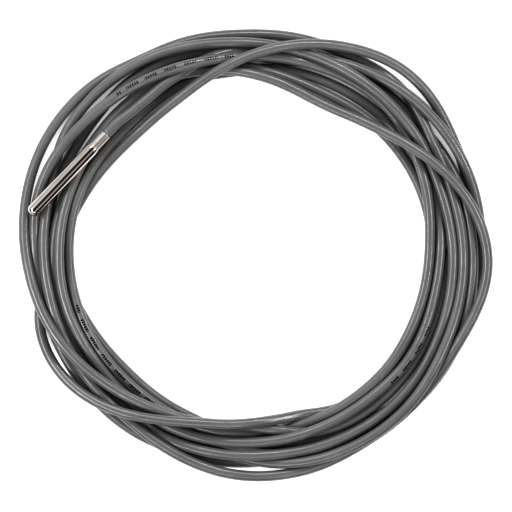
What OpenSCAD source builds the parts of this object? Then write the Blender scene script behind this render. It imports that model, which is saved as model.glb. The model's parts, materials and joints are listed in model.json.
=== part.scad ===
// Soil sensor probe: a closed steel sleeve, crimped and potted onto a round
// three-core cable that lies wound in one loose open coil.
// Origin: the coil's centre, on the surface that the coil lies on. +Z is up.

/* [Sleeve] */
// Outside diameter of the steel sleeve
sleeve_d = 6; // [5.6:0.1:8]
// Length of the sleeve from its closed tip to its open mouth
sleeve_len = 50; // [44:1:80]
// Wall thickness of the sleeve
sleeve_wall = 0.35; // [0.2:0.05:0.4]
// Radius of the rounded edge of the closed tip
tip_r = 2.3; // [1:0.1:2.6]
// Outside diameter of the neck that is rolled down onto the cable
neck_d = 5; // [4.6:0.1:5.4]
// Length of the neck
neck_len = 7.5; // [4:0.5:10]
// Length of the cone between the body and the neck
shoulder_len = 2.3; // [1:0.1:4]

/* [Sensing chip] */
// Radius of the rounded back of the moulded chip
chip_r = 2.2; // [1.8:0.1:2.3]
// Thickness of the chip from its flat face to its back
chip_depth = 3.4; // [2.6:0.1:3.6]
// Length of the chip along the sleeve
chip_len = 4.6; // [3:0.1:6]
// Distance between the chip's legs
leg_pitch = 1.27; // [1:0.01:1.5]
// Diameter of each leg
leg_d = 0.45; // [0.3:0.05:0.5]

/* [Cable] */
// Outside diameter of the cable
cable_d = 4.8; // [4.6:0.1:5]
// Diameter of one insulated core
core_d = 1.2; // [1:0.05:1.3]
// Diameter of the copper strands in a core
strand_d = 0.6; // [0.4:0.05:0.7]
// Distance of each core from the middle of the cable
core_ring_r = 0.9; // [0.8:0.05:0.95]

/* [Coil] */
// Inside radius of the coil
coil_r_in = 76; // [60:1:80]
// Outside radius of the coil
coil_r_out = 107; // [104:1:120]
// Height of the coil between the places where its turns cross
coil_h = 8.5; // [8:0.1:8.6]
// Height of the coil where its turns cross
crossing_h = 17; // [16:0.5:18]

/* [Place of the sleeve] */
// Middle of the sleeve, left to right
sleeve_x = -85; // [-90:0.5:-80]
// Middle of the sleeve, front to back
sleeve_y = 37.5; // [30:0.5:45]
// Height of the sleeve's axis
sleeve_z = 14; // [14:0.5:18]
// Direction in which the sleeve's mouth points, from the left-to-right axis
sleeve_heading = 46.5; // [40:0.5:55]

/* [Hidden] */

$fn = 48;

STEEL = [0.74, 0.72, 0.69];
JACKET = [0.49, 0.50, 0.51];
CORE_COLOURS = [[0.70, 0.10, 0.08], [0.12, 0.12, 0.13], [0.85, 0.70, 0.12]];
COPPER = [0.80, 0.48, 0.30];
TIN = [0.78, 0.78, 0.80];
RESIN = [0.12, 0.12, 0.13];
SHRINK = [0.16, 0.16, 0.17];

// Stations along the sleeve, measured from its tip
shoulder_end = sleeve_len - neck_len;
shoulder_start = shoulder_end - shoulder_len;
chip_start = 1.6;
chip_end = chip_start + chip_len;
leg_bend = chip_end + 1.2;
leg_spread = 2.6;
leg_end = chip_end + 7;
solder_half = 1.1;
solder_d = 0.95;
insulation_start = leg_end + 2.5;
shrink_start = leg_end - 2;
shrink_end = insulation_start + 2.5;
shrink_d = 1.5;
jacket_start = shoulder_start - 4;
potting_end = jacket_start + 2.5;

// Where each core lies across the cable, core 1 towards the chip's round back
function core_at(i) = core_ring_r * [cos(120 * (i - 1)), sin(120 * (i - 1))];
// Where each leg leaves the chip, in one row across its flat face
function leg_at(i) = [0, [0, leg_pitch, -leg_pitch][i - 1]];

// Tip and mouth of the sleeve
sleeve_way = [cos(sleeve_heading), sin(sleeve_heading), 0];
sleeve_mid = [sleeve_x, sleeve_y, sleeve_z];
sleeve_tip = sleeve_mid - sleeve_way * sleeve_len / 2;
sleeve_mouth = sleeve_mid + sleeve_way * sleeve_len / 2;

// Crossings, as start and end angles: the lead goes into the first one's end
crossings = [[56, 112], [8, 46], [212, 258]];
crossing_in = 80;
crossing_out = 104;

// Route of the lead after the mouth: angle round the coil, radius, height
lead_route = [[136, 87.5, 13.7], [130, 86.5, 13.2], [124, 87, 12.6], [118, 88.5, 12], [112, 90, 11.4]];

// Slot under the coil for the end of the cable
slot_angles = [203, 257];
slot_r = [84, 98];
slot_h = 6.6;
// Route of the cable in the slot: angle round the coil, radius, height
tail_route = [[257, 91, 2.6], [250, 90.5, 2.6], [243, 90.5, 2.6], [236, 90.5, 2.6]];
// Stripped cores: straight out of the jacket, then spread by these angles
tail_bend = 2;
tail_fan = [0, 7, -7];
tail_core_len = 16;
tail_strand_len = 6;

function polar(p) = [p[1] * cos(p[0]), p[1] * sin(p[0]), p[2]];
// The way round the coil, clockwise, at a point of a route
function way_round(p) = [sin(p[0]), -cos(p[0]), 0];
function last(list) = list[len(list) - 1];
function unit(v) = v / norm(v);

// One ring of a round tube, square to the tube's way
function tube_ring(at, way, across, d, sides) =
    let (side = unit(cross(way, across)), up = cross(side, way))
    [for (k = [0:sides - 1]) at + d / 2 * (cos(360 * k / sides) * side + sin(360 * k / sides) * up)];

// A round tube along a list of points, its ends square to the given ways.
// The direction called across is one that the tube never runs along.
module tube_along(points, start_way, end_way, d, across = [0, 0, 1], sides = 12) {
    n = len(points);
    ways = [for (i = [0:n - 1])
        i == 0 ? start_way : i == n - 1 ? end_way : unit(points[i + 1] - points[i - 1])];
    rings = [for (i = [0:n - 1]) each tube_ring(points[i], ways[i], across, d, sides)];
    walls = [for (i = [0:n - 2], k = [0:sides - 1])
        let (a = i * sides + k, b = i * sides + (k + 1) % sides)
        each [[a, b, b + sides], [a, b + sides, a + sides]]];
    caps = [[for (k = [sides - 1:-1:0]) k], [for (k = [0:sides - 1]) (n - 1) * sides + k]];
    polyhedron(points = rings, faces = concat(walls, caps));
}

// Puts a shape that is drawn along +Z from the sleeve's tip into its place
module in_sleeve() {
    translate(sleeve_tip)
        rotate([0, 0, sleeve_heading])
            rotate([0, 90, 0])
                children();
}

// Half outline of the sleeve, shrunk all round by a given amount
module sleeve_half(inset, tail) {
    r_body = sleeve_d / 2 - inset;
    r_neck = neck_d / 2 - inset;
    flat_r = sleeve_d / 2 - tip_r;
    polygon([
        [0, inset], [flat_r, inset], [flat_r, tip_r], [r_body, tip_r],
        [r_body, shoulder_start], [r_neck, shoulder_end],
        [r_neck, sleeve_len + tail], [0, sleeve_len + tail]
    ]);
    intersection() {
        translate([flat_r, tip_r])
            circle(r = tip_r - inset);
        square([r_body, 2 * tip_r]);
    }
}

module sleeve_cavity(tail = 0) {
    rotate_extrude()
        sleeve_half(sleeve_wall, tail);
}

module rod(at, from, to, d) {
    translate([at[0], at[1], from])
        cylinder(d = d, h = to - from);
}

module probe_sleeve() {
    color(STEEL)
        in_sleeve()
            difference() {
                rotate_extrude()
                    sleeve_half(0, 0);
                sleeve_cavity(1);
            }
}

module chip_body() {
    intersection() {
        rod([0, 0], chip_start, chip_end, 2 * chip_r);
        translate([chip_r - chip_depth, -chip_r, chip_start])
            cube([chip_depth, 2 * chip_r, chip_len]);
    }
}

module sensor_chip() {
    color(RESIN)
        in_sleeve()
            chip_body();
}

// A leg, from the chip out to its core
module leg_shape(i) {
    leg = leg_at(i);
    core = core_at(i);
    tube_along(
        [
            [leg[0], leg[1], chip_end], [leg[0], leg[1], leg_bend],
            [core[0], core[1], leg_bend + leg_spread], [core[0], core[1], leg_end]
        ],
        [0, 0, 1], [0, 0, 1], leg_d, [1, 0, 0]
    );
}

module chip_leg(i) {
    color(TIN)
        in_sleeve()
            leg_shape(i);
}

module solder_joint(i) {
    core = core_at(i);
    color(TIN)
        in_sleeve()
            difference() {
                rod(core, leg_end - solder_half, leg_end + solder_half, solder_d);
                rod(core, leg_end - solder_half - 1, leg_end, leg_d);
                rod(core, leg_end, leg_end + solder_half + 1, strand_d);
            }
}

module splice_shrink(i) {
    core = core_at(i);
    color(SHRINK)
        in_sleeve()
            difference() {
                rod(core, shrink_start, shrink_end, shrink_d);
                rod(core, shrink_start - 1, shrink_end + 1, core_d);
            }
}

module core_strand(i) {
    color(COPPER)
        in_sleeve()
            rod(core_at(i), leg_end, sleeve_len, strand_d);
}

module core_insulation(i) {
    color(CORE_COLOURS[i - 1])
        in_sleeve()
            difference() {
                rod(core_at(i), insulation_start, sleeve_len, core_d);
                rod(core_at(i), insulation_start - 1, sleeve_len + 1, strand_d);
            }
}

module jacket_shape() {
    intersection() {
        rod([0, 0], jacket_start, sleeve_len, cable_d);
        sleeve_cavity();
    }
}

module jacket_end() {
    color(JACKET)
        in_sleeve()
            difference() {
                jacket_shape();
                for (i = [1:3])
                    rod(core_at(i), jacket_start - 1, sleeve_len + 1, core_d);
            }
}

// Resin that fills the sleeve round everything in it, as far as the jacket
module potting_fill() {
    color(RESIN)
        in_sleeve()
            difference() {
                intersection() {
                    rod([0, 0], 0, potting_end, sleeve_d);
                    sleeve_cavity();
                }
                chip_body();
                jacket_shape();
                for (i = [1:3]) {
                    leg_shape(i);
                    rod(core_at(i), shrink_start, shrink_end, shrink_d);
                    rod(core_at(i), shrink_end - 1, jacket_start + 1, core_d);
                }
            }
}

module cable_lead() {
    straight = sleeve_mouth + sleeve_way * 4;
    color(JACKET)
        tube_along(
            concat([sleeve_mouth, straight], [for (p = lead_route) polar(p)]),
            sleeve_way, way_round(last(lead_route)), cable_d
        );
}

// Half section of one band of cable turns, its corners rounded like the cable
module band_section(r_in, r_out, bottom, top) {
    r = cable_d / 2;
    translate([r_in + r, bottom])
        square([r_out - r_in - 2 * r, top - bottom]);
    translate([r_in, bottom + r])
        square([r_out - r_in, top - bottom - 2 * r]);
    for (x = [r_in + r, r_out - r], y = [bottom + r, top - r])
        translate([x, y])
            circle(r = r);
}

// The coil as one closed ring, higher where its turns cross, with a slot
// underneath for the end of the cable
module cable_coil() {
    color(JACKET)
        difference() {
            union() {
                rotate_extrude($fn = 180)
                    band_section(coil_r_in, coil_r_out, 0, coil_h);
                for (c = crossings)
                    rotate([0, 0, c[0]])
                        rotate_extrude(angle = c[1] - c[0], $fn = 180)
                            band_section(crossing_in, crossing_out, coil_h / 4, crossing_h);
            }
            rotate([0, 0, slot_angles[0]])
                rotate_extrude(angle = slot_angles[1] - slot_angles[0], $fn = 180)
                    translate([slot_r[0], -1])
                        square([slot_r[1] - slot_r[0], slot_h + 1]);
        }
}

module cable_tail() {
    color(JACKET)
        tube_along(
            [for (p = tail_route) polar(p)],
            way_round(tail_route[0]), way_round(last(tail_route)), cable_d
        );
}

// Puts a shape that is drawn along +Z onto the cut end of the cable
module at_tail_end() {
    translate(polar(last(tail_route)))
        rotate([0, 0, last(tail_route)[0] - 90])
            rotate([0, 90, 0])
                children();
}

// A point along a stripped core, a given length past its bend
function tail_at(i, past) =
    [core_at(i)[0], core_at(i)[1], tail_bend] + past * tail_way(i);
function tail_way(i) = [0, sin(tail_fan[i - 1]), cos(tail_fan[i - 1])];

module tail_core(i) {
    start = [core_at(i)[0], core_at(i)[1], 0];
    color(CORE_COLOURS[i - 1])
        at_tail_end()
            tube_along(
                [start, tail_at(i, 0), tail_at(i, tail_core_len)],
                [0, 0, 1], tail_way(i), core_d, [1, 0, 0]
            );
}

module tail_strand(i) {
    ends = [tail_core_len, tail_core_len + tail_strand_len];
    color(TIN)
        at_tail_end()
            tube_along(
                [for (past = ends) tail_at(i, past)],
                tail_way(i), tail_way(i), strand_d, [1, 0, 0]
            );
}

probe_sleeve();
sensor_chip();
chip_leg(1);  // chip_leg_1
chip_leg(2);  // chip_leg_2
chip_leg(3);  // chip_leg_3
solder_joint(1);  // solder_joint_1
solder_joint(2);  // solder_joint_2
solder_joint(3);  // solder_joint_3
splice_shrink(1);  // splice_shrink_1
splice_shrink(2);  // splice_shrink_2
splice_shrink(3);  // splice_shrink_3
core_strand(1);  // core_strand_1
core_strand(2);  // core_strand_2
core_strand(3);  // core_strand_3
core_insulation(1);  // core_insulation_1
core_insulation(2);  // core_insulation_2
core_insulation(3);  // core_insulation_3
jacket_end();
potting_fill();
cable_lead();
cable_coil();
cable_tail();
tail_core(1);  // tail_core_1
tail_core(2);  // tail_core_2
tail_core(3);  // tail_core_3
tail_strand(1);  // tail_strand_1
tail_strand(2);  // tail_strand_2
tail_strand(3);  // tail_strand_3
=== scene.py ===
"""Looks of the soil sensor probe: a closed steel sleeve, crimped and potted onto a
round grey cable that lies wound in one loose open coil. Metres, +Z up, the
origin at the coil's centre on the floor, as in the CAD frame."""

import json
import math

import bmesh
import bpy
import numpy as np
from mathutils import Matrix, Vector


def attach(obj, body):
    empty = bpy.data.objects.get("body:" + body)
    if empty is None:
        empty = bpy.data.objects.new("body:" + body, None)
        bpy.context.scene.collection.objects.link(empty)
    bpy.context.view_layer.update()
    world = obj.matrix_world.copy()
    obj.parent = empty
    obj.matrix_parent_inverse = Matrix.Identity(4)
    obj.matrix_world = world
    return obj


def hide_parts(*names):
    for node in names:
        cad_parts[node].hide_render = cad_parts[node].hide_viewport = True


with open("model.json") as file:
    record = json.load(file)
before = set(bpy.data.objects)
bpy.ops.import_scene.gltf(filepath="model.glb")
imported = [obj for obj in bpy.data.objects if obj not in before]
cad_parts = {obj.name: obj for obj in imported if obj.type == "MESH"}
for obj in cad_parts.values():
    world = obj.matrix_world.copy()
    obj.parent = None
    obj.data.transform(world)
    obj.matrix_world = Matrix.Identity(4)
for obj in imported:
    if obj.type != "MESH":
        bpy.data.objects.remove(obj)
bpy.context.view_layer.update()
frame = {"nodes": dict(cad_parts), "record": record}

# ---------------------------------------------------------------- sizes, metres
CABLE_D = 0.0048
CABLE_R = CABLE_D / 2
CABLE_SIDES = 20
# The cable fits the sleeve's mouth, and is a little swollen just past it
PAST_MOUTH = (0, 0.0005, 0.0012, 0.002, 0.0035, 0.005)
PAST_MOUTH_R = (0.00215, 0.00238, 0.00248, 0.00246, 0.00242)
FLOOR_Z = 0.0
FLOOR_HALF = 3

SLEEVE_MID = Vector((-0.085, 0.0375, 0.014))
SLEEVE_LEN = 0.050
SLEEVE_HEADING = math.radians(46.5)
SLEEVE_WAY = Vector((math.cos(SLEEVE_HEADING), math.sin(SLEEVE_HEADING), 0))
SLEEVE_TIP = SLEEVE_MID - SLEEVE_WAY * SLEEVE_LEN / 2
SLEEVE_MOUTH = SLEEVE_MID + SLEEVE_WAY * SLEEVE_LEN / 2
SLEEVE_SIDES = 96
NECK_START = 0.0400          # from the tip to where the steel starts to be rolled down
NECK_FULL = 0.0425

CORE_D = 0.0012
CORE_END = 0.86              # how thick a core's cut end is, as a share of the core
CORE_RING_R = 0.0009         # how far each core lies from the cable's middle
WIRE_D = 0.0002
WIRE_SIDES = 8
WIRES = 7                    # bare wires in a core: six round one
WIRE_START = 0.0005          # how far inside the insulation the bare wires start
WIRE_TWIST = 0.006           # length of one turn of the bare wires
TAIL_BEND = 0.002            # the stripped cores run straight this far, then spread
TAIL_ROUNDING = 0.0006
TAIL_FAN = (0, 7, -7)        # degrees
TAIL_CORE_LEN = 0.016
TAIL_STRAND_LEN = 0.006

# ---------------------------------------------------------------- camera
# Straight above the coil, far enough off for the coil's height to make little
# difference, with the coil filling the picture
PICTURE_WIDTH = 0.233
CAMERA_HEIGHT = 2.5
PICTURE_PLANE = 0.008
PICTURE_MIDDLE = 0.0002      # along both X and Y
SENSOR = 36


def make_camera():
    data = bpy.data.cameras.new("camera")
    data.sensor_width = SENSOR
    data.lens = SENSOR * (CAMERA_HEIGHT - PICTURE_PLANE) / PICTURE_WIDTH
    data.clip_end = 20
    camera = bpy.data.objects.new("camera", data)
    camera.location = (PICTURE_MIDDLE, PICTURE_MIDDLE, CAMERA_HEIGHT)
    bpy.context.scene.collection.objects.link(camera)
    bpy.context.scene.camera = camera


# ---------------------------------------------------------------- cable's route
# Places round the coil are (angle in degrees, radius, height or layer). The
# cable runs clockwise, so that its angle falls along it.
LEAD = [(136, 0.0875, 0.0137), (130, 0.0865, 0.0132), (124, 0.0870, 0.0126),
        (118, 0.0885, 0.0120), (112, 0.0900, 0.0114)]
TAIL = [(257, 0.0910, 0.0026), (250, 0.0905, 0.0026), (243, 0.0905, 0.0026),
        (236, 0.0905, 0.0026)]

# Where each turn wanders, and its layer: 0 lies on the floor, 1 on one strand
TURNS = [
    # first turn, down from the lead
    (97, 0.0940, 1), (80, 0.0945, 1), (68, 0.0960, 1.2), (47, 0.1010, 1.2), (20, 0.1040, 1.2),
    (0, 0.1025, 1), (343, 0.0995, 0.8), (325, 0.0965, 0), (300, 0.0925, 0), (286, 0.0875, 0),
    (272, 0.0855, 0), (262, 0.0822, 0), (250, 0.0797, 0), (225, 0.0785, 0), (205, 0.0820, 0),
    (185, 0.0885, 0), (167, 0.0962, 0), (157, 0.0968, 0), (150, 0.0960, 0), (139, 0.0966, 0),
    # second turn, out to the sleeve's tip
    (124, 0.0985, 0), (106, 0.0970, 0), (84, 0.0905, 0), (50, 0.0960, 0), (20, 0.0975, 0.3),
    (343, 0.0995, 0.8), (320, 0.0980, 0.2), (300, 0.0935, 0), (265, 0.0920, 0.2),
    (228, 0.0975, 0.7), (190, 0.0985, 0.9), (164, 0.1030, 1),
    # third turn, over the lead and then along the inside
    (130, 0.0960, 2), (98, 0.0910, 1.6), (75, 0.0920, 0.3), (52, 0.0915, 0.2), (30, 0.0860, 0.2),
    (0, 0.0790, 0.6), (335, 0.0780, 0.8), (315, 0.0790, 1.3), (290, 0.0790, 1.2),
    (260, 0.0810, 0.8), (228, 0.0815, 0.8), (200, 0.0840, 0.9), (165, 0.0855, 0.8),
    # fourth turn, under the lead
    (130, 0.0825, 0), (103, 0.0872, 0), (90, 0.0865, 0), (62, 0.0858, 0), (45, 0.0863, 0),
    (25, 0.0880, 0), (10, 0.0850, 0.8), (350, 0.0830, 0.9), (327, 0.0840, 1.4),
    (310, 0.0820, 1.2), (300, 0.0825, 1.2), (270, 0.0845, 1), (240, 0.0871, 0.3),
    (230, 0.0875, 0.3), (218, 0.0870, 0.3), (185, 0.0895, 2),
    # fifth turn, from the inside right over the others to the outside
    (150, 0.0895, 0.8), (115, 0.0912, 0.8), (100, 0.0875, 0.4), (90, 0.0840, 0.2),
    (80, 0.0794, 0.6), (65, 0.0754, 2), (50, 0.0788, 2.2), (5, 0.1046, 2.2), (358, 0.1062, 2.2),
    (345, 0.1028, 2), (335, 0.0992, 1.6), (315, 0.0982, 1.1), (300, 0.0977, 0.8),
    (286, 0.0997, 0.7), (270, 0.1002, 0.6), (258, 0.0989, 0.6), (250, 0.0970, 0.7),
    (230, 0.0934, 0.7), (205, 0.0950, 0.7), (185, 0.0962, 0.9), (167, 0.0979, 0.4),
    (158, 0.0990, 0.3), (150, 0.1031, 0.3),
    # sixth turn
    (137, 0.1040, 0.7), (122, 0.1032, 1.2), (95, 0.0975, 1.3), (60, 0.0935, 1.3), (35, 0.0915, 1),
    (15, 0.0905, 0.7), (340, 0.0910, 1), (315, 0.0925, 1.2), (275, 0.0905, 1), (240, 0.0925, 1),
    (228, 0.0915, 0.9), (220, 0.0915, 0.7), (208, 0.0915, 0.3), (178, 0.0920, 1.2),
    (153, 0.0905, 0.3),
    # seventh turn, along the inside and then over the others at the lower left
    (140, 0.0905, 0), (127, 0.0912, 0), (112, 0.0908, 0.4), (100, 0.0880, 1), (88, 0.0844, 1.3),
    (65, 0.0803, 1), (40, 0.0810, 0), (15, 0.0815, 0), (335, 0.0800, 0), (310, 0.0804, 0),
    (295, 0.0791, 0.2), (277, 0.0757, 0.9), (255, 0.0785, 2.4), (205, 0.1047, 1.8),
    (197, 0.1036, 1),
    # eighth turn, over the others at the top and again at the left
    (188, 0.0965, 0.3), (178, 0.0905, 0.5), (168, 0.0862, 0.3), (160, 0.0835, 0),
    (133, 0.0776, 2.2), (118, 0.0792, 2.5), (100, 0.0870, 2.6), (85, 0.0948, 2.5),
    (70, 0.1023, 2.2), (60, 0.1064, 2.1), (50, 0.1089, 2), (38, 0.1070, 1), (30, 0.1040, 0),
    (20, 0.1032, 0), (10, 0.0950, 0), (3, 0.0888, 0), (354, 0.0867, 0), (330, 0.0870, 0),
    (300, 0.0865, 0), (270, 0.0765, 0), (258, 0.0784, 0.6), (250, 0.0803, 1.1),
    (240, 0.0822, 1.8), (190, 0.1015, 2.8), (150, 0.1095, 1.2), (131, 0.1075, 0.6),
    (121, 0.1034, 0.3),
    # last turn, to the tail under the coil
    (110, 0.1033, 0), (92, 0.1012, 0.2), (80, 0.1015, 0.3), (66, 0.1010, 0.4), (52, 0.1020, 0.6),
    (28, 0.0935, 0.4), (10, 0.0940, 0.2), (340, 0.0950, 1.6), (310, 0.0975, 2.2),
    (285, 0.0965, 1.8), (264, 0.0922, 0),
]

STEP = 3                     # degrees between two stations of the coil
PER_TURN = 360 // STEP
LAYER_H = 0.9 * CABLE_D      # rise from one layer to the next
OVER_REACH = 0.8 * CABLE_D   # strands nearer than this in plan lie over each other
SIDE_REACH = 1.3 * CABLE_D   # and nearer than this beside each other
BESIDE_FROM = 0.35 * CABLE_D  # strands that stay this far apart may lie level
LEVEL_RISE = 0.3             # of a layer: strands with less between them do
MIN_RISE = 0.15 * CABLE_D    # a strand on top of another lies at least this much higher
MEETING = 0.95 * CABLE_D     # while they are this near in plan
TURNED_RISE = 0.3 * CABLE_D  # rise given to a strand on the wrong side of another
SETTLING_ROUNDS = 900
SLOW_FROM = 0.7 * SETTLING_ROUNDS
SLOW_SINK = 0.3              # the last rounds' share of SINK
SINK = 0.05e-3               # how far a loose strand sinks in one round
PUSHES = 6                   # times that touching strands are parted in one round
SPRING_BACK = 0.97           # what is left of a sideways shift after one round
# The stripped cores lie within these angles and radii, and the middle of a strand
# over them is at least this high
CORES_AT = ((221, 236), (0.0870, 0.0985), 0.0061)


def unrolled(places):
    """The places with an angle that only grows along the cable, as an array."""
    rows, behind = [], 0
    for angle, radius, height in places:
        while rows and behind - angle <= rows[-1][0]:
            behind += 360
        rows.append((behind - angle, radius, height))
    return np.array(rows)


def smooth_between(x, known_x, known_y):
    """Values at x on a smooth curve through the known ones that never overshoots them."""
    step = np.diff(known_x)
    slope = np.diff(known_y) / step
    tangent = np.zeros(len(known_x))
    same_way = slope[:-1] * slope[1:] > 0
    first = 2 * step[1:] + step[:-1]
    second = step[1:] + 2 * step[:-1]
    safe = np.where(slope == 0, 1, slope)
    mean = (first + second) / (first / safe[:-1] + second / safe[1:] + 1e-30)
    tangent[1:-1] = np.where(same_way, mean, 0)
    tangent[0], tangent[-1] = slope[0], slope[-1]
    i = np.clip(np.searchsorted(known_x, x, side="right") - 1, 0, len(step) - 1)
    t = (x - known_x[i]) / step[i]
    return (
        known_y[i] * (1 + 2 * t) * (1 - t) ** 2
        + tangent[i] * step[i] * t * (1 - t) ** 2
        + known_y[i + 1] * t * t * (3 - 2 * t)
        + tangent[i + 1] * step[i] * t * t * (t - 1)
    )


def contacts(radius, height):
    """Pairs of stations that lie over or beside each other, and which is on top:
    1 the first, -1 the second, 0 neither. One stretch of contact keeps one order."""
    first, second, order = [], [], []
    for apart in range(PER_TURN, len(radius), PER_TURN):
        across = radius[:-apart] - radius[apart:]
        above = height[:-apart] - height[apart:]
        over = np.abs(across) < OVER_REACH
        edges = np.flatnonzero(np.diff(np.concatenate([[0], over, [0]]).astype(int)))
        for start, end in edges.reshape(-1, 2):
            here = slice(start, end)
            weight = np.clip(1 - np.abs(across[here]) / OVER_REACH, 0.02, 1)
            rise = (above[here] * weight).sum() / weight.sum() / LAYER_H
            crossing = across[here].min() < 0 < across[here].max()
            beside = np.abs(across[here]).min() > BESIDE_FROM
            level = not crossing and beside and abs(rise) < LEVEL_RISE
            first += range(start, end)
            second += range(start + apart, end + apart)
            order += [0 if level else 1 if rise > 0 else -1] * (end - start)
        side = np.flatnonzero((np.abs(across) < SIDE_REACH) & ~over)
        first += side.tolist()
        second += (side + apart).tolist()
        order += [0] * len(side)
    return np.array(first), np.array(second), np.array(order)


def blurred(values, rounds=1):
    """Each value but the ends drawn towards its neighbours, as a stiff cable does."""
    for _ in range(rounds):
        inner = 0.5 * values[1:-1] + 0.25 * (values[:-2] + values[2:])
        values = np.concatenate([values[:1], inner, values[-1:]])
    return values


def settle(angle, radius, height, fixed):
    """Lets the coil's turns sink onto the floor and onto each other. Two strands that
    touch are pushed apart, and a strand on the wrong side of another is turned over.
    The lower a strand lies, the freer it is to move sideways."""
    first, second, order = contacts(radius, height)
    freedom = np.clip(1 - 0.8 * (height - CABLE_R) / LAYER_H, 0.2, 1)
    (low, high), (inner, outer), over_cores = CORES_AT
    turned = (-angle) % 360
    on_cores = (turned > low) & (turned < high) & (radius > inner) & (radius < outer)
    floor = np.where(on_cores, over_cores, CABLE_R)
    z, shift, count = height.copy(), np.zeros(len(radius)), len(radius)
    for done in range(SETTLING_ROUNDS):
        z = blurred(z - SINK * (1 if done < SLOW_FROM else SLOW_SINK), 2)
        shift = blurred(shift) * SPRING_BACK
        for _ in range(PUSHES):
            across = (radius + shift)[first] - (radius + shift)[second]
            rise = z[first] - z[second]
            wrong = (order != 0) & (rise * order < MIN_RISE)
            wrong &= np.abs(across) < MEETING
            turned_over = np.where(wrong, order * TURNED_RISE, rise)
            apart = np.hypot(across, turned_over) + 1e-9
            lack = np.maximum(CABLE_D - apart, 0)
            push_up = 0.5 * (lack * turned_over / apart + turned_over - rise)
            push_out = 0.3 * lack * across / apart
            active = ((lack > 0) | wrong).astype(float)
            touching = np.bincount(first, active, count) + np.bincount(second, active, count)
            share = np.sqrt(np.maximum(touching, 1))
            up = np.bincount(first, push_up, count) - np.bincount(second, push_up, count)
            out = np.bincount(first, push_out, count) - np.bincount(second, push_out, count)
            z = np.maximum(z + up / share, floor)
            shift += out / share * freedom
            z[fixed], shift[fixed] = height[fixed], 0
    return radius + shift, z


def around(angle, radius, height):
    """Points from their degrees wound, radius and height."""
    turned = np.radians(-angle)
    return np.stack([radius * np.cos(turned), radius * np.sin(turned), height], axis=1)


def cable_points():
    """The cable's middle from the sleeve's mouth to its far end, every 2.4 mm, and
    the degrees that it has wound at each point."""
    layered = [(a, r, CABLE_R + LAYER_H * layer) for a, r, layer in TURNS]
    places = unrolled(LEAD + layered + TAIL)
    lead_end, tail_start = places[len(LEAD) - 1, 0], places[-len(TAIL), 0]
    angle = np.arange(places[0, 0], places[-1, 0] + 0.5, STEP)
    angle[-1] = places[-1, 0]
    radius = smooth_between(angle, places[:, 0], places[:, 1])
    height = smooth_between(angle, places[:, 0], places[:, 2])
    fixed = (angle <= lead_end) | (angle >= tail_start)
    radius = np.where(fixed, radius, blurred(radius, 3))
    radius, height = settle(angle, radius, height, fixed)
    radius = np.where(fixed, radius, blurred(radius, 2))
    height = np.where(fixed, height, blurred(height, 2))
    fine = np.arange(angle[0], angle[-1], STEP / 2)
    fine = np.append(fine, angle[-1])
    coil = around(fine, smooth_between(fine, angle, radius), smooth_between(fine, angle, height))
    start = [SLEEVE_MOUTH + SLEEVE_WAY * past for past in PAST_MOUTH]
    wound = np.concatenate([np.full(len(start), fine[0]), fine])
    return np.concatenate([np.array(start), coil]), wound


# ---------------------------------------------------------------- tubes
UP = np.array([0, 0, 1.0])


def tube_mesh(name, points, radius, sides, marks=None):
    """A closed round tube along points. Its UV runs along it in metres and once
    round it, from underneath over the outside. radius is one value or one per point."""
    points = np.array(points, float)
    count = len(points)
    radii = np.broadcast_to(radius, (count,))
    way = np.gradient(points, axis=0)
    way /= np.linalg.norm(way, axis=1)[:, None]
    out = np.cross(UP, way)
    out /= np.linalg.norm(out, axis=1)[:, None]
    top = np.cross(way, out)
    turn = (2 * np.pi * np.arange(sides) / sides - np.pi)[None, :, None]
    ring = np.cos(turn) * top[:, None] + np.sin(turn) * out[:, None]
    verts = (points[:, None] + radii[:, None, None] * ring).reshape(-1, 3)
    faces = [(i * sides + k, (i + 1) * sides + k,
              (i + 1) * sides + (k + 1) % sides, i * sides + (k + 1) % sides)
             for i in range(count - 1) for k in range(sides)]
    faces.append(tuple(range(sides)))
    faces.append(tuple((count - 1) * sides + k for k in reversed(range(sides))))
    mesh = bpy.data.meshes.new(name)
    mesh.from_pydata(verts.tolist(), [], faces)
    along = np.concatenate([[0], np.cumsum(np.linalg.norm(np.diff(points, axis=0), axis=1))])
    uv = mesh.uv_layers.new(name="along")
    walls = (count - 1) * sides
    i, k = np.divmod(np.arange(walls), sides)
    u = np.stack([along[i], along[i + 1], along[i + 1], along[i]], axis=1)
    v = np.stack([k, k, k + 1, k + 1], axis=1) / sides
    flat = np.zeros((len(mesh.loops), 2))
    flat[: walls * 4, 0] = u.reshape(-1)
    flat[: walls * 4, 1] = v.reshape(-1)
    uv.data.foreach_set("uv", flat.reshape(-1))
    smooth = [True] * walls + [False, False]
    mesh.polygons.foreach_set("use_smooth", smooth)
    for mark, values in (marks or {}).items():
        layer = mesh.attributes.new(mark, "FLOAT", "POINT")
        layer.data.foreach_set("value", np.repeat(np.asarray(values, float), sides))
    mesh.update()
    return mesh


def place(name, mesh, material, slot, *replaced):
    """Makes a piece of a mesh, in place of the CAD nodes named last."""
    piece = bpy.data.objects.new(name, mesh)
    mesh.materials.append(material)
    bpy.context.scene.collection.objects.link(piece)
    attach(piece, "root")
    if replaced:
        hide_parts(*replaced)
    return piece


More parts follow.
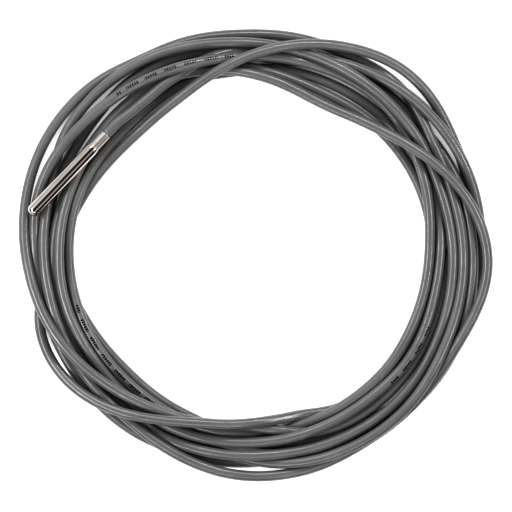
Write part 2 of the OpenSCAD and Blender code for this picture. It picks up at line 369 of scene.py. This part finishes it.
# ---------------------------------------------------------------- materials
class Nodes:
    """A small helper that adds and joins the nodes of one material."""

    def __init__(self, name):
        self.material = bpy.data.materials.new(name)
        self.material.use_nodes = True
        self.tree = self.material.node_tree
        self.shader = self.tree.nodes["Principled BSDF"]

    def add(self, kind, inputs=None, **settings):
        node = self.tree.nodes.new(kind)
        for key, value in settings.items():
            setattr(node, key, value)
        for key, value in (inputs or {}).items():
            self.put(node.inputs[key], value)
        return node

    def put(self, socket, value):
        if isinstance(value, bpy.types.NodeSocket):
            self.tree.links.new(value, socket)
        else:
            socket.default_value = value

    def shade(self, **inputs):
        for key, value in inputs.items():
            self.put(self.shader.inputs[key.replace("_", " ")], value)

    def math(self, operation, a, b=0.0):
        node = self.add("ShaderNodeMath", {0: a, 1: b}, operation=operation)
        return node.outputs[0]

    def ramp(self, value, low, high, to_low, to_high):
        """value from low to high, made to run from to_low to to_high."""
        node = self.add("ShaderNodeMapRange",
                        {"Value": value, "From Min": low, "From Max": high,
                         "To Min": to_low, "To Max": to_high})
        return node.outputs["Result"]

    def uv(self, scale):
        source = self.add("ShaderNodeUVMap", uv_map="along")
        node = self.add("ShaderNodeMapping", {"Vector": source.outputs["UV"], "Scale": scale})
        return node.outputs["Vector"]

    def solid(self, scale):
        source = self.add("ShaderNodeTexCoord")
        node = self.add("ShaderNodeMapping", {"Vector": source.outputs["Object"], "Scale": scale})
        return node.outputs["Vector"]

    def noise(self, vector, scale, detail=4.0, rough=0.5):
        node = self.add("ShaderNodeTexNoise",
                        {"Vector": vector, "Scale": scale, "Detail": detail, "Roughness": rough})
        return node.outputs["Fac"]

    def mix(self, factor, dark, light):
        """Two colours mixed. The node's colour sockets are 6 and 7, and 2 comes out."""
        node = self.add("ShaderNodeMix", data_type="RGBA")
        self.put(node.inputs["Factor"], factor)
        self.put(node.inputs[6], dark)
        self.put(node.inputs[7], light)
        return node.outputs[2]

    def bump(self, height, distance, strength=1.0, normal=None):
        inputs = {"Height": height, "Distance": distance, "Strength": strength}
        if normal is not None:
            inputs["Normal"] = normal
        return self.add("ShaderNodeBump", inputs).outputs["Normal"]


def grey(value):
    return (value, value, value, 1)


# Printed stretches of the cable: the degrees wound at their start and end, counted
# as in unrolled(), and how far the print stands outward of the top, in degrees
INK_RUNS = [(589, 624, 16), (841, 885, 2), (1103, 1123, 34)]
INK_HALF_HEIGHT = 0.058      # of the way round
DASH_PERIOD, DASH_INKED = 0.00115, 0.66
GROUP_PERIOD, GROUP_INKED = 0.0093, 0.68
LINE_MARGIN = 6              # degrees past a printed stretch that keep its line


def jacket_material():
    """Smooth grey plastic with faint patches, lengthwise streaks and specks of dust."""
    n = Nodes("cable_jacket")
    patches = n.noise(n.solid((1, 1, 1)), 55, 3)
    grain = n.noise(n.uv((60, 6, 1)), 9, 5, 0.6)
    streaks = n.noise(n.uv((14, 22, 1)), 3, 3, 0.5)
    specks = n.noise(n.solid((1, 1, 1)), 1400, 2, 0.7)
    patchy = n.ramp(patches, 0.3, 0.7, -0.12, 0.12)
    streaky = n.ramp(streaks, 0.3, 0.7, -0.08, 0.08)
    tone = n.ramp(n.math("ADD", patchy, streaky), -0.2, 0.2, 0, 1)
    plain = n.mix(tone, (0.158, 0.163, 0.166, 1), (0.212, 0.218, 0.222, 1))
    dust = n.ramp(specks, 0.66, 0.74, 0, 0.35)
    dusty = n.mix(dust, plain, grey(0.32))
    rough = n.ramp(grain, 0.2, 0.8, 0.15, 0.26)
    n.shade(
        Base_Color=n.mix(ink_mask(n), dusty, grey(0.006)),
        Roughness=n.math("ADD", rough, n.math("MULTIPLY", dust, 0.3)),
        Specular_IOR_Level=0.85,
        Normal=n.bump(grain, 0.00001, 0.5, n.bump(streaks, 0.00005, 0.4)),
    )
    return n.material


def ink_mask(n):
    """Plain dashes in groups along the printed stretches. They aren't letters."""
    uv = n.add("ShaderNodeSeparateXYZ", {"Vector": n.uv((1, 1, 1))})
    along, round_it = uv.outputs["X"], uv.outputs["Y"]
    on = n.add("ShaderNodeAttribute", attribute_name="ink_on").outputs["Fac"]
    line = n.add("ShaderNodeAttribute", attribute_name="ink_line").outputs["Fac"]
    across = n.math("ABSOLUTE", n.math("SUBTRACT", round_it, line))
    in_dash = n.math("FRACT", n.math("MULTIPLY", along, 1 / DASH_PERIOD))
    in_group = n.math("FRACT", n.math("MULTIPLY", along, 1 / GROUP_PERIOD))
    dash = n.math("LESS_THAN", in_dash, DASH_INKED)
    group = n.math("LESS_THAN", in_group, GROUP_INKED)
    uneven = n.noise(n.uv((900, 40, 1)), 1, 2)
    half_height = n.ramp(uneven, 0.3, 0.7, 0.5 * INK_HALF_HEIGHT, INK_HALF_HEIGHT)
    tall = n.math("LESS_THAN", across, half_height)
    started = n.math("GREATER_THAN", on, 0.5)
    inked = n.math("MULTIPLY", dash, group)
    return n.math("MULTIPLY", inked, n.math("MULTIPLY", tall, started))


def steel_material():
    """Polished steel with fine lengthwise marks, duller and scored where it is rolled."""
    n = Nodes("steel_sleeve")
    marks = n.noise(n.uv((12, 90, 1)), 12, 4, 0.65)
    clouds = n.noise(n.solid((1, 1, 1)), 260, 3)
    along = n.add("ShaderNodeSeparateXYZ", {"Vector": n.uv((1, 1, 1))}).outputs["X"]
    neck = n.ramp(along, NECK_START, NECK_FULL, 0, 1)
    rolled = n.noise(n.uv((2600, 3, 1)), 1, 3, 0.6)
    marked = n.ramp(marks, 0.3, 0.7, 0.07, 0.15)
    rough = n.math("ADD", marked, n.ramp(clouds, 0.4, 0.8, 0, 0.05))
    scored = n.bump(n.math("MULTIPLY", rolled, neck), 0.00004, 0.5)
    n.shade(
        Base_Color=n.mix(clouds, (0.50, 0.477, 0.457, 1), (0.57, 0.552, 0.535, 1)),
        Metallic=1.0,
        Roughness=n.math("ADD", rough, n.math("MULTIPLY", neck, 0.3)),
        Normal=n.bump(marks, 0.000006, 0.5, scored),
    )
    return n.material


def plastic_material(name, dark, light, rough, scale=900):
    n = Nodes(name)
    cloud = n.noise(n.solid((1, 1, 1)), scale, 4, 0.6)
    n.shade(
        Base_Color=n.mix(cloud, dark, light),
        Roughness=n.ramp(cloud, 0.3, 0.7, rough, rough + 0.15),
        Normal=n.bump(cloud, 0.00002, 0.4),
    )
    return n.material


def metal_material(name, dark, light, rough, scale=1500):
    n = Nodes(name)
    cloud = n.noise(n.solid((1, 1, 1)), scale, 4, 0.6)
    n.shade(
        Base_Color=n.mix(cloud, dark, light),
        Metallic=1.0,
        Roughness=n.ramp(cloud, 0.3, 0.7, rough, rough + 0.15),
        Normal=n.bump(cloud, 0.00001, 0.4),
    )
    return n.material


def make_materials():
    red_dark, red_light = (0.40, 0.02, 0.015, 1), (0.55, 0.04, 0.025, 1)
    yellow_dark, yellow_light = (0.62, 0.42, 0.02, 1), (0.75, 0.55, 0.04, 1)
    copper_dark, copper_light = (0.60, 0.30, 0.17, 1), (0.80, 0.46, 0.30, 1)
    return {
        "cable_jacket": jacket_material(),
        "steel_sleeve": steel_material(),
        "chip_case": plastic_material("chip_case", grey(0.018), grey(0.035), 0.5),
        "tinned_metal": metal_material("tinned_metal", grey(0.55), grey(0.72), 0.22),
        "shrink_tube": plastic_material("shrink_tube", grey(0.015), grey(0.03), 0.45),
        "copper": metal_material("copper", copper_dark, copper_light, 0.28),
        "core_red": plastic_material("core_red", red_dark, red_light, 0.32),
        "core_black": plastic_material("core_black", grey(0.014), grey(0.028), 0.32),
        "core_yellow": plastic_material("core_yellow", yellow_dark, yellow_light, 0.32),
        "resin": plastic_material("resin", grey(0.02), grey(0.04), 0.25, 400),
    }


# ---------------------------------------------------------------- pieces
def make_cable(materials):
    points, wound = cable_points()
    radius = np.full(len(points), CABLE_R)
    radius[: len(PAST_MOUTH_R)] = PAST_MOUTH_R
    on, line = np.zeros(len(points)), np.full(len(points), 0.5)
    for start, end, outward in INK_RUNS:
        on[(wound >= start) & (wound <= end)] = 1
        near = (wound > start - LINE_MARGIN) & (wound < end + LINE_MARGIN)
        line[near] = 0.5 + outward / 360
    mesh = tube_mesh("cable", points, radius, CABLE_SIDES, {"ink_on": on, "ink_line": line})
    cable = place("cable", mesh, materials["cable_jacket"], "cable_jacket",
                  "cable_lead", "cable_coil", "cable_tail")
    make_stripped_cores(materials)


def tail_point(across, aside, ahead):
    """A point so far below, outward of and ahead of the middle of the cable's far end."""
    angle, radius, height = TAIL[-1]
    turn = math.radians(angle)
    middle = np.array([radius * math.cos(turn), radius * math.sin(turn), height])
    forward = np.array([math.sin(turn), -math.cos(turn), 0])
    side = np.array([math.cos(turn), math.sin(turn), 0])
    return middle + forward * ahead + side * aside - UP * across


def joined(name, meshes):
    """One mesh of several, which are used up."""
    whole = bmesh.new()
    for mesh in meshes:
        whole.from_mesh(mesh)
        bpy.data.meshes.remove(mesh)
    result = bpy.data.meshes.new(name)
    whole.to_mesh(result)
    whole.free()
    return result


def make_stripped_cores(materials):
    """The three cores past the jacket's end, each with its twisted bare wires."""
    pieces = []
    for i, colour in enumerate(("core_red", "core_black", "core_yellow")):
        turn = 2 * math.pi * i / 3
        across, aside = CORE_RING_R * math.cos(turn), CORE_RING_R * math.sin(turn)
        fan = math.radians(TAIL_FAN[i])

        def core_point(past):
            spread = (past + math.hypot(past, TAIL_ROUNDING)) / 2
            return across, aside + spread * math.sin(fan), TAIL_BEND + past

        ahead = np.linspace(-TAIL_BEND, TAIL_CORE_LEN, 37)
        radii = np.full(len(ahead), CORE_D / 2)
        radii[-1] *= CORE_END
        points = [tail_point(*core_point(past)) for past in ahead]
        core = tube_mesh(f"stripped_core_{i + 1}", points, radii, CABLE_SIDES)
        pieces.append(place(core.name, core, materials[colour], colour, f"tail_core_{i + 1}"))

        bare = np.linspace(TAIL_CORE_LEN - WIRE_START, TAIL_CORE_LEN + TAIL_STRAND_LEN, 40)
        wires = []
        for k in range(WIRES):
            ring = 0 if k == WIRES - 1 else WIRE_D
            points = []
            for past in bare:
                x, y, z = core_point(past)
                lay = math.pi / 3 * k + 2 * math.pi * past / WIRE_TWIST
                points.append(tail_point(x + ring * math.cos(lay), y + ring * math.sin(lay), z))
            wires.append(tube_mesh(f"wire_{k}", points, WIRE_D / 2, WIRE_SIDES))
        strand = joined(f"stripped_wires_{i + 1}", wires)
        pieces.append(place(strand.name, strand, materials["tinned_metal"], "tinned_metal",
                            f"tail_strand_{i + 1}"))
    return pieces


def sleeve_outline():
    """The sleeve's wall as (distance from the tip, radius), in millimetres: the
    outside from tip to mouth, then the inside back to the tip."""
    rounding, flat = 2.3, 0.7
    tip = [(rounding - rounding * math.cos(a), flat + rounding * math.sin(a))
           for a in np.linspace(0, math.pi / 2, 14)]
    body = [(along, 3.0) for along in np.linspace(4, 39.6, 12)]
    shoulder = [(40.2, 2.985), (40.7, 2.93), (41.2, 2.83), (41.7, 2.70), (42.2, 2.58),
                (42.7, 2.51)]
    neck = [(43.3, 2.5), (45.0, 2.49), (47.0, 2.5), (49.0, 2.51), (49.6, 2.5),
            (49.88, 2.44), (50.0, 2.33)]
    inside = [(49.9, 2.2), (49.6, 2.15), (42.6, 2.15), (40.2, 2.64), (2.4, 2.65),
              (1.0, 2.1), (0.4, 0.7)]
    return [(0.0, 0.0), (0.0, flat / 2), *tip, *body, *shoulder, *neck, *inside, (0.35, 0.0)]


def make_sleeve(materials):
    """The sleeve as a turned shell. Its UV runs from tip to mouth in metres and once
    round it, so that its marks run lengthwise."""
    sides = SLEEVE_SIDES
    outline = sleeve_outline()
    across = Vector((-SLEEVE_WAY.y, SLEEVE_WAY.x, 0))
    up = Vector((0, 0, 1))
    verts, stations = [], []
    for station, radius in outline:
        middle = SLEEVE_TIP + SLEEVE_WAY * station * 0.001
        for k in range(sides if radius else 1):
            turn = 2 * math.pi * k / sides
            verts.append(middle + (across * math.sin(turn) - up * math.cos(turn)) * radius * 0.001)
        stations.append(station * 0.001)
    faces, uvs = [], []
    last = len(outline) - 1
    for i in range(last):
        a, b = 1 + (i - 1) * sides, 1 + i * sides
        for k in range(sides):
            j = (k + 1) % sides
            v0, v1 = k / sides, (k + 1) / sides
            if i == 0:
                faces.append((0, b + j, b + k))
                uvs += [(stations[0], v0), (stations[1], v1), (stations[1], v0)]
            elif i == last - 1:
                faces.append((a + k, a + j, b))
                uvs += [(stations[i], v0), (stations[i], v1), (stations[last], v0)]
            else:
                faces.append((a + k, a + j, b + j, b + k))
                uvs += [(stations[i], v0), (stations[i], v1)]
                uvs += [(stations[i + 1], v1), (stations[i + 1], v0)]
    mesh = bpy.data.meshes.new("sleeve_shell")
    mesh.from_pydata([tuple(v) for v in verts], [], faces)
    layer = mesh.uv_layers.new(name="along")
    layer.data.foreach_set("uv", np.array(uvs).reshape(-1))
    mesh.polygons.foreach_set("use_smooth", [True] * len(faces))
    mesh.update()
    place("sleeve_shell", mesh, materials["steel_sleeve"], "steel_sleeve", "probe_sleeve")


def paint_cad_nodes(materials):
    """Gives each CAD node that still shows the finish of its slot in the record."""
    slots = {row["node"]: row["material_slot"] for row in frame["record"]["subparts"]}
    for name, node in frame["nodes"].items():
        if not node.hide_render:
            node.data.materials.clear()
            node.data.materials.append(materials[slots[name]])


# ---------------------------------------------------------------- studio
def make_floor():
    """A plain pale floor. It glows a little where it is open to the sky, and adds no
    diffuse light to the strands."""
    mesh = bpy.data.meshes.new("floor")
    corners = [(x * FLOOR_HALF, y * FLOOR_HALF, FLOOR_Z)
               for x, y in ((-1, -1), (1, -1), (1, 1), (-1, 1))]
    mesh.from_pydata(corners, [], [(0, 1, 2, 3)])
    n = Nodes("floor")
    cloud = n.noise(n.solid((1, 1, 1)), 3, 3)
    open_sky = n.add("ShaderNodeAmbientOcclusion", {"Distance": 0.03}, samples=16).outputs["AO"]
    n.shade(
        Base_Color=n.mix(cloud, grey(0.62), grey(0.64)),
        Roughness=0.8,
        Emission_Color=grey(1),
        Emission_Strength=n.ramp(open_sky, 0.05, 0.22, 0, 0.55),
    )
    mesh.materials.append(n.material)
    floor = bpy.data.objects.new("floor", mesh)
    floor.visible_diffuse = False
    bpy.context.scene.collection.objects.link(floor)


# Softboxes round the coil: direction and height in degrees, distance, width and
# height in metres, and brightness. A big one at the upper left is the main light.
# None is straight overhead, so that the gaps between the strands stay dark.
SOFTBOXES = {
    "upper_left": (136, 37, 0.80, 1.10, 0.90, 0.62),
    "strip_above": (101, 46, 0.78, 0.42, 0.07, 5.5),
    "strip_beside": (168, 46, 0.78, 0.36, 0.07, 8.0),
    "top": (76, 42, 0.70, 0.30, 0.09, 6.0),
    "upper_right": (42, 42, 0.70, 0.50, 0.09, 6.0),
    "right": (0, 42, 0.70, 0.45, 0.09, 7.0),
    "lower_right": (316, 60, 0.80, 0.50, 0.42, 0.45),
    "bottom": (268, 42, 0.70, 0.50, 0.08, 4.5),
    "lower_left": (222, 42, 0.70, 0.50, 0.09, 6.0),
    "left": (194, 42, 0.70, 0.26, 0.09, 7.5),
}
WARM_WHITE = (1, 0.98, 0.96)
TINTS = {"lower_right": (1, 0.86, 0.82)}


def softbox(name, azimuth, elevation, distance, width, height, brightness):
    data = bpy.data.lights.new(name, "AREA")
    data.shape = "RECTANGLE"
    data.size, data.size_y = width, height
    data.energy = brightness * math.pi * width * height
    data.color = TINTS.get(name, WARM_WHITE)
    light = bpy.data.objects.new(name, data)
    turn, lift = math.radians(azimuth), math.radians(elevation)
    flat = math.cos(lift)
    way = Vector((flat * math.cos(turn), flat * math.sin(turn), math.sin(lift)))
    light.location = way * distance
    light.rotation_euler = (-way).to_track_quat("-Z", "Y").to_euler()
    bpy.context.scene.collection.objects.link(light)


def make_studio():
    make_floor()
    for name, facts in SOFTBOXES.items():
        softbox(name, *facts)
    world = bpy.data.worlds.new("studio")
    world.use_nodes = True
    sky = world.node_tree.nodes["Background"]
    sky.inputs["Color"].default_value = (0.95, 0.97, 1, 1)
    sky.inputs["Strength"].default_value = 0.05
    bpy.context.scene.world = world
    bpy.context.scene.view_settings.view_transform = "Standard"
    bpy.context.scene.view_settings.look = "Very High Contrast"


make_camera()
MATERIALS = make_materials()
make_cable(MATERIALS)
make_sleeve(MATERIALS)
paint_cad_nodes(MATERIALS)
make_studio()
